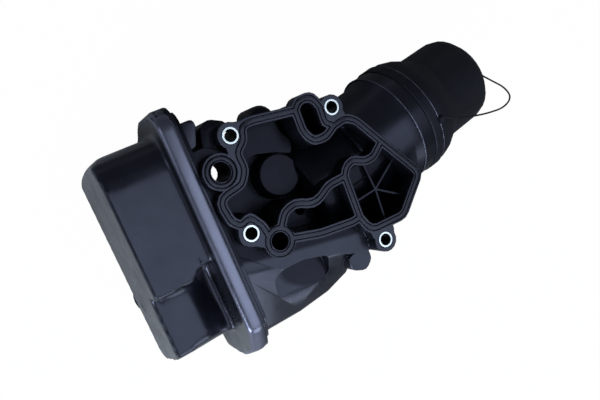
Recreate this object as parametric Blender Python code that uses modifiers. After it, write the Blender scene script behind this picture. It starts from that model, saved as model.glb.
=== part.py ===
"""Engine oil filter housing with a built-in crankcase oil separator.

The origin lies on the engine flange's sealing plane, at the middle of the gasket. +Z points out of
the flange towards the engine, and +X runs along the filter towards its screw cap. Sizes are in
millimetres and become metres where a mesh is made.
"""
import math

import bmesh
import bpy
from mathutils import Matrix, Vector

MM = 0.001
GAP = 0.3                    # clearance between pieces that seat on each other
ARC_ERROR = 0.35             # a round corner's sides stay this close to the true arc
ROUND = 32                   # sides of the filter bowl, cap and cartridge
SMALL_ROUND = 16             # sides of sleeves, bosses and small turned pieces

# Engine flange
FLANGE_DEPTH = 12.5
FLANGE_LIP = 3.5             # the flange stands past the cavity walls by this much
TRACK = 6.8                  # width of the gasket wall
GROOVE_WIDTH = 4.0
GROOVE_DEPTH = 2.9
GASKET_ROOM = 0.7             # room for the gasket bead to spread sideways in its groove
WALL = 3.0
TUB_DEPTH = 44.0
TUB_FLOOR = 3.0

# Compression sleeves for the M8 flange bolts
SLEEVE_R = 5.85
SLEEVE_BORE_R = 4.5
SLEEVE_LENGTH = 16.0
BOLT_BOSS_R = 9.2
BOLT_BOSS_DEPTH = 20.0
BOLT_HEAD_R = 8.2             # room for the bolt head and its socket behind each boss
BOLTS = {
    "top_left": (-55.6, 72.4),
    "top_right": (20.0, 49.4),
    "bottom_left": (-80.6, 10.1),
    "bottom_right": (2.6, -55.2),
}
BOLT_ROOM_DEPTH = {"top_left": 62.0, "top_right": 35.0, "bottom_left": 62.0, "bottom_right": 62.0}

# Oil ports through the flange
RING_PORT = (-74.7, 55.9)
RING_PORT_R = 12.8
RING_PORT_BORE_R = 6.9
RING_SEAL_R = 9.4
RING_PORT_LENGTH = 34.0
LOW_PORT = (-66.6, -6.4)
LOW_PORT_R = 12.0
LOW_PORT_BORE_R = 6.4
LOW_PORT_DEPTH = 36.0

# Gasket wall: centre lines as (x, y, corner radius), split where walls meet
TOP_JOINT = (-5.8, 62.2, 1.5)
SHOULDER_JOINT = (14.0, 37.6, 1.5)
RIGHT_JOINT = (41.0, 7.2, 1.0)
CROSS_JOINT = (0.6, 2.6, 1.0)
BOTTOM_JOINT = (-6.0, -29.0, 1.0)
PORT_JOINT_LEFT = (-71.6, 1.4, 2.0)
PORT_JOINT_RIGHT = (-60.6, 1.0, 2.0)
PORT_JOINT_LOW = (-57.6, -10.4, 1.0)
LEFT_RUN = [(-71.2, 9.5, 4.0), (-75.2, 19.8, 5.0), (-83.4, 18.5, 3.0), (-87.3, 24.6, 7.0),
            (-86.8, 41.6, 7.0), (-67.2, 41.3, 7.0), (-60.0, 48.5, 7.0), (-58.3, 60.5, 6.0),
            (-49.5, 65.5, 7.0), (-45.4, 74.2, 5.5), (-36.5, 72.6, 8.0)]
D_PORT_INNER_RUN = [(-9.0, 47.0, 8.0), (-6.2, 36.8, 7.0), (4.5, 34.4, 9.0)]
D_PORT_OUTER_RUN = [(-0.2, 66.4, 6.0), (10.6, 64.6, 8.0), (12.2, 54.5, 6.0), (9.4, 43.5, 6.0)]
SHOULDER_RUN = [(25.0, 37.6, 8.0), (31.6, 31.2, 9.0)]
WEB_RIGHT_RUN = [(28.0, 1.2, 8.0), (20.5, 3.0, 7.0), (12.5, 9.2, 6.0), (5.2, 7.4, 5.0)]
WEB_LOW_RUN = [(-14.0, 4.6, 10.0), (-29.5, -0.6, 14.0), (-42.5, 9.0, 11.0), (-52.5, 8.2, 9.0)]
RIGHT_RUN = [(56.4, -30.2, 6.0), (26.0, -49.2, 9.0), (-3.4, -42.6, 9.0)]
BOTTOM_RUN = [(-13.0, -28.2, 10.0), (-38.0, -20.2, 20.0)]

# Disc boss, ledge and ribs inside the cavities
DISC_BOSS = (-32.2, 27.2)
DISC_BOSS_R = 16.6
DISC_BOSS_TOP = -25.0
LEDGE_TOP = -19.0
LEDGE = [(-60.0, 78.0, 1.0), (-60.0, 52.0, 1.0), (-41.0, 50.0, 2.0), (-28.0, 43.5, 4.0),
         (-17.5, 36.0, 2.0), (-12.5, 45.0, 6.0), (-16.5, 53.0, 6.0), (-14.5, 70.0, 1.0)]
STAR_CENTRE = (21.0, -22.0)
STAR_TIPS = [(22.6, -2.5), (44.5, -12.5), (37.0, -37.5), (16.0, -42.0), (4.0, -20.5)]
STAR_TOP = -8.5
RIB = 1.6
ARCH_RIB_X = (26.0, 50.0)
ARCH_RIB_HEIGHT = 5.0

# Filter bowl and screw cap, turned round an axis along +X
AXIS_DEPTH = 58.0
BOWL_R = 46.0
BOWL_WALL = 3.0
BOWL_END_X = -20.0
FLARE_X = 73.0
COLLAR_X = 80.0
COLLAR_R = BOWL_R + 3.5
BOWL_MOUTH_X = 92.4
CAP_RING_R = COLLAR_R + 1.0
CAP_RING_END_X = 102.0
CAP_R = BOWL_R - 6.0
CAP_END_X = 185.0
CAP_DOME_X = 163.0
CAP_WALL = 3.2
CAP_SKIRT_X = 68.0
THREAD_CLEARANCE = 0.5
SEAL_X = 86.0
SEAL_SECTION = 3.2
SEAL_SQUEEZE = 0.3
STANDPIPE_R = 11.5
STANDPIPE_BORE_R = 8.5
STANDPIPE_END_X = 34.0
FLUTES = 18
FLUTE_R = 3.2

# Cartridge
CARTRIDGE_START_X = -12.0
CARTRIDGE_END_X = 166.0
CARTRIDGE_ROOM = 2.3          # round the cartridge, inside the cap
DISC_R = CAP_R - CAP_WALL - CARTRIDGE_ROOM
DISC_THICKNESS = 2.4
PLEAT_R = DISC_R - 1.0
PLEAT_FOOT = 5.5              # paper between the core and the bottom of its folds
PLEATS = 36
SPRING_SIDES = 10             # sides of each coil of a spring
CORE_R = 16.0
CORE_WALL = 1.5
CORE_SLOTS = 4
BYPASS_R = 10.0
BYPASS_LENGTH = 24.0

# Separator: a chamber behind a welded rim, turned in the flange plane against the filter
SEPARATOR_TURN = -10.0
RIM_START = -106.0
RIM_END = -96.0
RIM_FRONT = -5.0
RIM_TOP = 96.0
RIM_BACK = -(AXIS_DEPTH + CAP_RING_R)
RIM_FOOT = -102.0
RIM_SHOULDER = 46.0          # height of the slanted corner at the rim's top, above its back
RIM_WIDTH = 8.5
COVER_FLANGE = 3.0
COVER_FRONT = -14.0
COVER_TOP = 81.5
COVER_BACK = RIM_BACK + 12.5
COVER_END = -155.0
COVER_END_SPREAD = 6.5
COVER_CORNER = 20.0          # the box's top corner, seen from the front
COVER_STEP = -20.0
FOOT_FRONT = -33.0
FOOT_BOTTOM = -67.0
FOOT_LIP = -45.0
SCOOP = (-113.0, -24.0)
SCOOP_R = 18.0
SCOOP_START = 8.5            # the hollow's round end lies this far below the axis of the rim
SKIRT_WALL_LOW = -86.5
SKIRT_TOP = -14.5
SKIRT_END = 3.2
SHELF_TOP = -11.6
SHELF_DEPTH = 8.4

# Breather valve on the back of the cover
BREATHER = (-145.0, -31.0)
BREATHER_R = 16.0
BREATHER_START = COVER_BACK + 22.0
BREATHER_SEAT = COVER_BACK - 2.5
BREATHER_CAP_HEIGHT = 8.0
BREATHER_HOLE_R = 3.5

# Relief valve behind the top edge
RELIEF_DOME = (-24.5, 68.0)
RELIEF_DOME_R = 11.0
RELIEF_DOME_TOP = -13.2
RELIEF = (-24.5, 71.6)
RELIEF_BORE_R = 5.0
RELIEF_BORE_TOP = -16.0
RELIEF_BOTTOM = -(TUB_DEPTH + 2.0)

# Oil duct from the standpipe to the low cavity, and the oil inlet to the bowl
RISER = (-27.5, -7.0)
RISER_R = 4.5
INLET = (11.5, -33.0)
INLET_R = 4.5

# Vent column by the top left bolt, as (x, y, radius), and the hose connector behind the rim, as (u, v, radius)
COLUMN = [(-73.2, 74.0, 3.0), (-66.6, 87.4, 6.0), (-59.0, 89.2, 6.0), (-49.5, 82.0, 3.0), (-50.0, 68.0, 1.0),
          (-62.0, 62.0, 1.0), (-71.5, 64.0, 1.0)]
COLUMN_TOP = -13.2
COLUMN_DEPTH = 46.0
CONNECTOR_TOP = -16.0
CONNECTOR_DEPTH = 22.0
CONNECTOR_FOOT = 63.0        # its lowest and highest v
CONNECTOR_HEAD = 81.8
SPIGOT = (-87.0, 74.5)
SPIGOT_R = 5.0
SPIGOT_BORE_R = 3.0
SPIGOT_LENGTH = 16.0

# Cord of the cap
TETHER_R = 0.75
TETHER_START_X = 105.0
TETHER_END_X = 187.0
TETHER_BOSS_R = 4.0
TETHER_START = (-9.8, -7.2)      # y, z on the lug's end face
TETHER_ROUTE = [(110, -12.6, -7.3), (117, -17.0, -8.6), (127, -22.0, -11.2), (145.7, -30, -17),
                (162.4, -36.2, -23), (178.8, -41.1, -28), (190.7, -41.8, -31), (197.4, -39.5, -33),
                (199.7, -35.4, -35), (199.6, -28.8, -38), (196.2, -20.5, -42), (193.6, -12.5, -47),
                (192.4, -5.0, -53), (190.6, -0.8, -57.2)]

BLACK = (0.021, 0.022, 0.030, 1.0)
RUBBER = (0.030, 0.031, 0.036, 1.0)
STEEL = (0.72, 0.72, 0.74, 1.0)
PAPER = (0.78, 0.62, 0.30, 1.0)

for old in list(bpy.data.objects):
    bpy.data.objects.remove(old)

PARTS = bpy.data.collections.new("oil_filter_housing")
GUIDES = bpy.data.collections.new("cutters")
MOULDINGS = ("flange", "cover", "cover_hollow", "chamber", "cap")
bpy.context.scene.collection.children.link(PARTS)
bpy.context.scene.collection.children.link(GUIDES)


def material(name, colour, roughness, metallic=0.0):
    made = bpy.data.materials.new(name)
    made.use_nodes = True
    shader = made.node_tree.nodes["Principled BSDF"]
    shader.inputs["Base Color"].default_value = colour
    shader.inputs["Roughness"].default_value = roughness
    shader.inputs["Metallic"].default_value = metallic
    return made


PLASTIC = material("black_plastic", BLACK, 0.42)
CAP_PLASTIC = material("matte_black_plastic", BLACK, 0.6)
SEAL_RUBBER = material("seal_rubber", RUBBER, 0.7)
SLEEVE_STEEL = material("sleeve_steel", STEEL, 0.25, 1.0)
SPRING_STEEL = material("spring_steel", STEEL, 0.35, 1.0)
FILTER_PAPER = material("filter_paper", PAPER, 0.9)

WORLD = Matrix.Identity(4)
FILTER_AXIS = Matrix.Translation((0, 0, -AXIS_DEPTH * MM)) @ Matrix.Rotation(math.radians(90), 4, "Y")
SEPARATOR = Matrix.Rotation(math.radians(SEPARATOR_TURN), 4, "Z")
# Outlines drawn as (y, z) and extruded along x, or as (x, z) and extruded along -y
ACROSS = Matrix(((0, 0, 1, 0), (1, 0, 0, 0), (0, 1, 0, 0), (0, 0, 0, 1)))
UPRIGHT = Matrix(((1, 0, 0, 0), (0, 0, -1, 0), (0, 1, 0, 0), (0, 0, 0, 1)))
ACROSS_SEPARATOR = SEPARATOR @ ACROSS


def at(x, y, z=0.0):
    return Matrix.Translation((x * MM, y * MM, z * MM))


# Outlines

def rounded(corners):
    """Points of a closed outline, each corner (x, y, radius) rounded by an arc."""
    points = []
    count = len(corners)
    for i, (x, y, radius) in enumerate(corners):
        here = Vector((x, y))
        before = Vector(corners[i - 1][:2]) - here
        after = Vector(corners[(i + 1) % count][:2]) - here
        angle = before.angle(after)
        if radius < 0.05 or angle > math.radians(176):
            points.append(here)
            continue
        reach = min(radius / math.tan(angle / 2), 0.49 * before.length, 0.49 * after.length)
        radius = reach * math.tan(angle / 2)
        middle = here + (before.normalized() + after.normalized()).normalized() * radius / math.sin(angle / 2)
        start = here + before.normalized() * reach - middle
        turn = start.angle_signed(here + after.normalized() * reach - middle)
        side = 2 * math.acos(max(0.3, 1 - ARC_ERROR / radius))
        steps = max(1, math.ceil(abs(turn) / side))
        for step in range(steps + 1):
            points.append(middle + Matrix.Rotation(-turn * step / steps, 2) @ start)
    return points


def grown(corners, distance):
    """A counter-clockwise outline moved outward by a distance, or inward when it is negative."""
    result = []
    count = len(corners)
    for i, (x, y, radius) in enumerate(corners):
        here = Vector((x, y))
        arrive = (here - Vector(corners[i - 1][:2])).normalized()
        leave = (Vector(corners[(i + 1) % count][:2]) - here).normalized()
        out = Vector((arrive.y, -arrive.x)) + Vector((leave.y, -leave.x))
        shift = out * (2 * distance / out.length_squared)
        convex = arrive.cross(leave) > 0
        new_radius = max(radius + (distance if convex else -distance), 0.6)
        result.append((x + shift.x, y + shift.y, new_radius))
    return result


def box_outline(x_low, x_high, y_low, y_high, radius=0.0):
    return [(x_low, y_low, radius), (x_high, y_low, radius), (x_high, y_high, radius), (x_low, y_high, radius)]


def circle(centre, radius, sides=SMALL_ROUND):
    return [(centre[0] + radius * math.cos(2 * math.pi * i / sides),
             centre[1] + radius * math.sin(2 * math.pi * i / sides), 0.0) for i in range(sides)]


# Solids

def add_object(name, mesh, frame=WORLD):
    made = bpy.data.objects.new(name, mesh)
    GUIDES.objects.link(made)
    made.matrix_world = frame
    made.hide_render = True
    made.display_type = "WIRE"
    return made


def prism(name, outline, low, high, frame=WORLD, holes=()):
    """A flat outline, with holes, extruded between two heights of its frame."""
    curve = bpy.data.curves.new(name, "CURVE")
    curve.dimensions = "2D"
    curve.fill_mode = "BOTH"
    curve.extrude = (high - low) / 2 * MM
    for corners in (outline, *holes):
        points = rounded(corners)
        spline = curve.splines.new("POLY")
        spline.points.add(len(points) - 1)
        for target, point in zip(spline.points, points):
            target.co = (point.x * MM, point.y * MM, 0.0, 1.0)
        spline.use_cyclic_u = True
    flat = bpy.data.objects.new(name, curve)
    GUIDES.objects.link(flat)
    bpy.context.view_layer.update()
    mesh = bpy.data.meshes.new_from_object(flat.evaluated_get(bpy.context.evaluated_depsgraph_get()))
    bpy.data.objects.remove(flat)
    body = bmesh.new()
    body.from_mesh(mesh)
    bmesh.ops.remove_doubles(body, verts=body.verts, dist=1e-6)
    bmesh.ops.recalc_face_normals(body, faces=body.faces)
    body.to_mesh(mesh)
    body.free()
    return add_object(name, mesh, frame @ at(0, 0, (low + high) / 2))


def turned(name, profile, frame=FILTER_AXIS, sides=ROUND):
    """A profile of (radius, height) points turned round its frame's Z axis. It runs down the outer side."""
    mesh = bpy.data.meshes.new(name)
    closed = profile[0][0] > 0
    edges = [(i, i + 1) for i in range(len(profile) - 1)]
    if closed:
        edges.append((len(profile) - 1, 0))
    mesh.from_pydata([(r * MM, 0.0, h * MM) for r, h in profile], edges, [])
    made = add_object(name, mesh, frame)
    screw = made.modifiers.new("turn", "SCREW")
    screw.steps = sides
    screw.render_steps = sides
    screw.use_merge_vertices = True
    screw.merge_threshold = 1e-6
    return made


def tube(name, outer, inner, low, high, frame=FILTER_AXIS, sides=ROUND):
    return turned(name, [(outer, high), (outer, low), (inner, low), (inner, high)], frame, sides)


def rod(name, radius, low, high, frame=FILTER_AXIS, sides=ROUND):
    return turned(name, [(0, high), (radius, high), (radius, low), (0, low)], frame, sides)


def loft(name, sections, frame=WORLD):
    """A solid through closed sections with the same number of points, from low to high."""
    body = bmesh.new()
    rings = [[body.verts.new(Vector(point) * MM) for point in section] for section in sections]
    count = len(rings[0])
    body.faces.new(list(reversed(rings[0])))
    body.faces.new(rings[-1])
    for low, high in zip(rings, rings[1:]):
        for i in range(count):
            body.faces.new((low[i], low[(i + 1) % count], high[(i + 1) % count], high[i]))
    bmesh.ops.recalc_face_normals(body, faces=body.faces)
    mesh = bpy.data.meshes.new(name)
    body.to_mesh(mesh)
    body.free()
    return add_object(name, mesh, frame)


def bevelled(made, width, segments=2, angle=35):
    bevel = made.modifiers.new("edges", "BEVEL")
    bevel.width = width * MM
    bevel.segments = segments
    bevel.limit_method = "ANGLE"
    bevel.angle_limit = math.radians(angle)
    bevel.use_clamp_overlap = True
    return made


def settle(made):
    """Replace an object's modifiers with the mesh that they give."""
    bpy.context.view_layer.update()
    mesh = bpy.data.meshes.new_from_object(made.evaluated_get(bpy.context.evaluated_depsgraph_get()))
    made.modifiers.clear()
    made.data = mesh
    return made


def combine(made, operation, others):
    """Join or cut one piece after another. The large mouldings need the manifold solver."""
    for other in others:
        change = made.modifiers.new(other.name, "BOOLEAN")
        change.operation = operation
        change.solver = "MANIFOLD" if made.name in MOULDINGS else "EXACT"
        change.object = other
        settle(made)
    return made


def join(made, *others):
    return combine(made, "UNION", others)


def cut(made, *others):
    return combine(made, "DIFFERENCE", others)


def finish(made, name, look, smooth_angle=32):
    """Move a solid from the guides to the parts, with its material and shading."""
    GUIDES.objects.unlink(made)
    PARTS.objects.link(made)
    made.name = name
    made.hide_render = False
    made.display_type = "TEXTURED"
    made.data.materials.clear()
    made.data.materials.append(look)
    made.data.shade_smooth()
    made.data.set_sharp_from_angle(angle=math.radians(smooth_angle))
    return made


# Gasket walls as closed centre lines

def back(run):
    return list(reversed(run))


MAIN_LOOP = [PORT_JOINT_LEFT, *LEFT_RUN, TOP_JOINT, *D_PORT_INNER_RUN, SHOULDER_JOINT, *SHOULDER_RUN,
             RIGHT_JOINT, *WEB_RIGHT_RUN, CROSS_JOINT, *WEB_LOW_RUN, PORT_JOINT_RIGHT]
D_PORT_LOOP = [TOP_JOINT, *D_PORT_OUTER_RUN, SHOULDER_JOINT, *back(D_PORT_INNER_RUN)]
RIGHT_LOOP = [RIGHT_JOINT, *RIGHT_RUN, BOTTOM_JOINT, CROSS_JOINT, *back(WEB_RIGHT_RUN)]
LOW_LOOP = [CROSS_JOINT, BOTTOM_JOINT, *BOTTOM_RUN, PORT_JOINT_LOW, PORT_JOINT_RIGHT, *back(WEB_LOW_RUN)]
OUTER_LOOP = [PORT_JOINT_LEFT, *LEFT_RUN, TOP_JOINT, *D_PORT_OUTER_RUN, SHOULDER_JOINT, *SHOULDER_RUN,
              RIGHT_JOINT, *RIGHT_RUN, BOTTOM_JOINT, *BOTTOM_RUN, PORT_JOINT_LOW]
CAVITIES = {"main": back(MAIN_LOOP), "d_port": back(D_PORT_LOOP), "right": back(RIGHT_LOOP), "low": back(LOW_LOOP)}
OUTER = back(OUTER_LOOP)


def seal_net(name, width, low, high):
    """The gasket's shape: every wall's centre line, given one width, with a ring round the lower port."""
    holes = [back(grown(loop, -width / 2)) for loop in CAVITIES.values()]
    net = prism(name, grown(OUTER, width / 2), low, high, holes=holes)
    middle = (LOW_PORT_R + LOW_PORT_BORE_R) / 2
    ring = prism(name + "_ring", circle(LOW_PORT, middle + width / 2), low, high)
    eye = prism(name + "_eye", circle(LOW_PORT, middle - width / 2), low - 1, high + 1)
    return cut(join(net, ring), eye)


# Housing

def bowl_solid():
    return turned("bowl", [
        (0, COLLAR_X + 8), (COLLAR_R - 1, COLLAR_X + 8), (COLLAR_R, COLLAR_X + 7), (COLLAR_R, COLLAR_X + 1),
        (COLLAR_R - 1, COLLAR_X), (BOWL_R + 0.6, FLARE_X + 1), (BOWL_R, FLARE_X), (BOWL_R, BOWL_END_X + 6),
        (BOWL_R - 2, BOWL_END_X + 2), (BOWL_R - 6, BOWL_END_X), (0, BOWL_END_X)])


def flange_slab():
    slab = prism("flange", grown(OUTER, TRACK / 2), -FLANGE_DEPTH, 0)
    ears = []
    for name, centre in BOLTS.items():
        ears.append(prism("ear_" + name, circle(centre, BOLT_BOSS_R), -BOLT_BOSS_DEPTH, 0))
    ears.append(prism("ring_port", circle(RING_PORT, RING_PORT_R, 20), -RING_PORT_LENGTH, 0))
    ears.append(prism("low_port", circle(LOW_PORT, LOW_PORT_R, 20), -LOW_PORT_DEPTH, 0))
    bridges = {
        "bridge_top_left": [(-63.0, 67.0, 1.5), (-64.5, 60.0, 1.5), (-66.0, 44.6, 1.0), (-58.0, 44.2, 1.0),
                            (-44.0, 70.0, 1.0), (-44.0, 76.8, 1.0), (-54.0, 81.0, 1.0)],
        "bridge_top_right": [(8.0, 50.0, 1.0), (14.0, 40.0, 1.0), (27.0, 38.5, 2.0), (26.5, 44.0, 1.0),
                             (20.0, 50.0, 1.0), (13.0, 60.0, 1.0)],
        "bridge_bottom_left": [(-88.0, 16.0, 2.0), (-88.0, 6.0, 1.0), (-77.0, -5.0, 1.0), (-68.0, 2.0, 1.0),
                               (-72.0, 18.0, 1.0), (-82.0, 24.0, 1.0)],
        "bridge_bottom_right": [(-4.6, -42.0, 1.0), (-4.8, -50.0, 1.0), (-1.0, -60.0, 1.0), (9.0, -60.0, 1.0),
                                (13.5, -52.0, 3.0), (15.0, -44.0, 1.0), (4.0, -40.0, 1.0)],
    }
    for name, outline in bridges.items():
        ears.append(prism(name, outline, -FLANGE_DEPTH, 0))
    tub = prism("tub", grown(OUTER, TRACK / 2 - FLANGE_LIP), -TUB_DEPTH, -FLANGE_DEPTH / 2)
    return join(slab, tub, *ears)


def separator_outline():
    """The rim as (v, z): straight front and back, with a long slanted corner at the foot."""
    return [(RIM_TOP - 15, RIM_BACK, 8.0), (RIM_TOP, RIM_BACK + RIM_SHOULDER, 18.0), (RIM_TOP, RIM_FRONT, 16.0),
            (-66.0, RIM_FRONT, 10.0),
            (-86.0, RIM_FRONT - 17, 12.0), (-98.0, RIM_FRONT - 50, 25.0), (RIM_FOOT, RIM_BACK, 8.0)]


def skirt_block(name, inset, start):
    """The sloped body between the rim and the flange. The inset gives the hollow inside it."""
    top = SKIRT_TOP - inset
    end = SKIRT_END - inset
    wall = SKIRT_WALL_LOW + inset
    high = [(start, top), (start, -26 + inset), (-66, -38 + inset), (-34 - inset, -46 + inset),
            (-14 - inset, -53 + inset), (end, -58 + inset), (end, top)]
    low = [(start, top), (start, wall), (-56, wall), (-28 - inset, wall + 3), (-6 - inset, wall + 10),
           (end, -62 + inset), (end, top)]
    levels = ((RIM_BACK + 4.5 + inset, low), (-46.0 - inset, low), (-18.0 - inset, high))
    return loft(name, [[(u, v, z) for u, v in outline] for z, outline in levels], SEPARATOR)


def skirt_solids():
    shelf = prism("shelf", [(-96.0, 61.0, 1.0), (-96.0, -14.0, 1.0), (-79.0, -30.0, 6.0), (-67.0, -40.0, 8.0),
                            (-50.0, -40.5, 10.0), (-30.0, -46.5, 4.0), (-14.0, -54.0, 4.0), (3.0, -59.0, 1.0),
                            (5.0, -44.0, 1.0), (-2.0, 0.0, 1.0), (-45.0, 28.0, 1.0), (-64.0, 40.0, 1.0),
                            (-74.0, 55.0, 1.0), (-84.0, 61.0, 1.0)], SHELF_TOP - SHELF_DEPTH, SHELF_TOP, SEPARATOR)
    skirt = bevelled(skirt_block("skirt", 0.0, RIM_END - 6), 2.5, 1, 20)
    pocket = bevelled(prism("pocket", [
        (-73.0, -45.0, 8.0), (-60.0, -42.0, 6.0), (-44.0, -42.5, 5.0), (-28.0, -48.5, 5.0), (-27.5, -62.0, 4.0),
        (-36.0, -75.0, 5.0), (-62.0, -75.0, 8.0), (-72.0, -64.0, 8.0)], -33.5, 5.0, SEPARATOR), 2.0, 1, 60)
    return shelf, skirt, pocket


def housing():
    body = settle(flange_slab())
    shelf, skirt, pocket = skirt_solids()
    join(body, shelf, settle(skirt))
    cut(body, settle(pocket))
    rim = settle(bevelled(prism("rim", separator_outline(), RIM_START - 8, RIM_END, ACROSS_SEPARATOR), 4.2, 3, 60))
    cut(rim, prism("before_rim", box_outline(-200, 200, -200, 50), RIM_START - 20, RIM_START, ACROSS_SEPARATOR))
    plate = prism("rim_plate", grown(separator_outline(), -5.0), RIM_END - 5, RIM_END + WALL + GAP, ACROSS_SEPARATOR)
    join(body, rim, plate)
    column = bevelled(prism("column", COLUMN, -COLUMN_DEPTH, COLUMN_TOP), 1.6, 2, 60)
    dome = turned("relief_dome", [
        (0, RELIEF_DOME_TOP), (RELIEF_DOME_R - 6, RELIEF_DOME_TOP - 0.5), (RELIEF_DOME_R - 2, RELIEF_DOME_TOP - 2.5),
        (RELIEF_DOME_R, RELIEF_DOME_TOP - 6.5), (RELIEF_DOME_R, RELIEF_DOME_TOP - 9.0),
        (RELIEF_DOME_R - 4, RELIEF_DOME_TOP - 15.0), (0, RELIEF_DOME_TOP - 15.0)], at(*RELIEF_DOME), 20)
    barrel = prism("relief_barrel", circle(RELIEF, RELIEF_BORE_R + 2.6), RELIEF_BOTTOM, RELIEF_DOME_TOP - 8.0)
    riser = prism("riser", box_outline(RISER[0] - 7.5, BOWL_END_X + 1, RISER[1] - 8.0, 9.0, 2.0),
                  -AXIS_DEPTH - 9.0, 1.5 - TUB_DEPTH)
    join(body, settle(column), dome, barrel, riser)
    lobe = bevelled(prism("lobe", [(-24.0, -56.0, 4.0), (-25.5, -66.0, 5.0), (-15.0, -73.0, 6.0),
                                   (-6.0, -68.0, 6.0), (-4.0, -54.0, 4.0)], -60.0, -20.0), 4.0, 1, 60)
    join(body, settle(lobe))
    settle(body)

    for name, loop in CAVITIES.items():
        cut(body, prism("cavity_" + name, grown(loop, -TRACK / 2), -TUB_DEPTH + TUB_FLOOR, 1.0))
    settle(body)
    main = grown(CAVITIES["main"], -TRACK / 2 + 1.0)
    floor = -TUB_DEPTH + 0.5
    ledge = prism("ledge", LEDGE, floor, LEDGE_TOP)
    trim = prism("ledge_trim", main, floor - 1, 0)
    combine(ledge, "INTERSECT", [trim])
    disc = turned("disc_boss", [(0, DISC_BOSS_TOP), (DISC_BOSS_R - 1.5, DISC_BOSS_TOP),
                                (DISC_BOSS_R, DISC_BOSS_TOP - 1.5), (DISC_BOSS_R + 1.2, floor), (0, floor)],
                  at(*DISC_BOSS), 24)
    join(body, settle(ledge), disc, bowl_solid())
    join(body, star())
    for index, (x, y_low, y_high) in enumerate(((ARCH_RIB_X[0], 8.0, 31.0), (ARCH_RIB_X[1], -31.0, -17.0))):
        join(body, arch_rib(index, x, y_low, y_high))
    mouth = tube("mouth", COLLAR_R, BOWL_R, COLLAR_X + 7, BOWL_MOUTH_X)
    join(body, mouth)
    settle(body)

    bore = BOWL_R - BOWL_WALL
    hollow = turned("bowl_hollow", [(0, BOWL_MOUTH_X + 2), (bore, BOWL_MOUTH_X + 2), (bore, BOWL_END_X + BOWL_WALL + 2),
                                    (bore - 3, BOWL_END_X + BOWL_WALL), (0, BOWL_END_X + BOWL_WALL)])
    cut(body, hollow)
    pipe = tube("standpipe", STANDPIPE_R, STANDPIPE_BORE_R, BOWL_END_X + 1, STANDPIPE_END_X, sides=24)
    join(body, pipe)
    chamber = skirt_block("chamber", WALL, RIM_END - 9)
    chamber_trim = turned("chamber_trim", [(0, BOWL_MOUTH_X), (BOWL_R + 1, BOWL_MOUTH_X),
                                           (BOWL_R + 1, BOWL_END_X - WALL), (0, BOWL_END_X - WALL)])
    cut(chamber, chamber_trim, prism("tub_trim", grown(OUTER, WALL), -TUB_DEPTH - WALL, 0),
        prism("pocket_trim", box_outline(-80.0, -20.0, -80.0, -38.0, 4.0), -37.0, 5.0, SEPARATOR),
        prism("riser_trim", box_outline(RISER[0] - 10.5, BOWL_END_X, RISER[1] - 11.0, 12.0, 2.0),
              -AXIS_DEPTH - 12.0, 0),
        prism("bolt_trim", circle(BOLTS["bottom_right"], BOLT_HEAD_R + WALL), -120, 0),
        prism("port_trim", circle(LOW_PORT, LOW_PORT_R - 0.4), 0.4 - LOW_PORT_DEPTH, 0))
    rim_hollow = prism("rim_hollow", grown(separator_outline(), -RIM_WIDTH), RIM_START - 1, RIM_END,
                       ACROSS_SEPARATOR)
    cut(body, settle(chamber), rim_hollow)
    settle(body)

    cut(body, seal_net("groove", GROOVE_WIDTH, -GROOVE_DEPTH, 1.0))
    cut(body, tube("ring_groove", RING_SEAL_R + GROOVE_WIDTH / 2, RING_SEAL_R - GROOVE_WIDTH / 2, -GROOVE_DEPTH,
                   1.0, at(*RING_PORT), 20))
    for name, centre in BOLTS.items():
        cut(body, prism("bolt_" + name, circle(centre, SLEEVE_R + GAP), -BOLT_BOSS_DEPTH - 2, 1.0),
            prism("room_" + name, circle(centre, BOLT_HEAD_R), -BOLT_ROOM_DEPTH[name], 0.6 - BOLT_BOSS_DEPTH))
    cut(body, prism("ring_bore", circle(RING_PORT, RING_PORT_BORE_R), -RING_PORT_LENGTH - 20, 1.0),
        prism("low_bore", circle(LOW_PORT, LOW_PORT_BORE_R), -LOW_PORT_DEPTH - 3, 1.0),
        prism("relief_bore", circle(RELIEF, RELIEF_BORE_R), RELIEF_BOTTOM - 1, RELIEF_BORE_TOP),
        prism("relief_window", box_outline(RELIEF[0] - 2, RELIEF[0] + 2, RELIEF[1] - 10, RELIEF[1] - 1),
              LEDGE_TOP + 0.4, RELIEF_BORE_TOP - 0.5),
        prism("riser_bore", circle(RISER, RISER_R), -AXIS_DEPTH, 3.5 - TUB_DEPTH),
        rod("duct_bore", RISER_R + 1.5, RISER[0] - 2.5, BOWL_END_X + BOWL_WALL + 2, sides=16),
        prism("inlet", circle(INLET, INLET_R), -AXIS_DEPTH / 2 - 8, -5.0),
        connector_bore("plate_bore", RIM_END - 8.0))
    settle(body)
    return finish(body, "housing", PLASTIC)


def connector_bore(name, start):
    """The way for the gas from the separator into the connector, along u."""
    middle = (SPIGOT[1], CONNECTOR_TOP - CONNECTOR_DEPTH / 2)
    return prism(name, circle(middle, SPIGOT_BORE_R, 12), start, SPIGOT[0], ACROSS_SEPARATOR)


def star():
    """Thin webs meeting in a star, standing on the bowl inside the right cavity."""
    centre = Vector(STAR_CENTRE)
    arms = sorted((Vector(tip) - centre for tip in STAR_TIPS), key=lambda arm: math.atan2(arm.y, arm.x))
    corners = []
    for arm, following in zip(arms, arms[1:] + arms[:1]):
        side = Vector((-arm.y, arm.x)).normalized() * RIB / 2
        half_angle = arm.angle(following) / 2
        notch = (arm.normalized() + following.normalized()).normalized() * RIB / 2 / math.sin(half_angle)
        for point in (centre + arm * 1.08 - side, centre + arm * 1.08 + side, centre + notch):
            corners.append((point.x, point.y, 0.0))
    return prism("star", corners, -AXIS_DEPTH + BOWL_R * 0.45, STAR_TOP)


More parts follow.
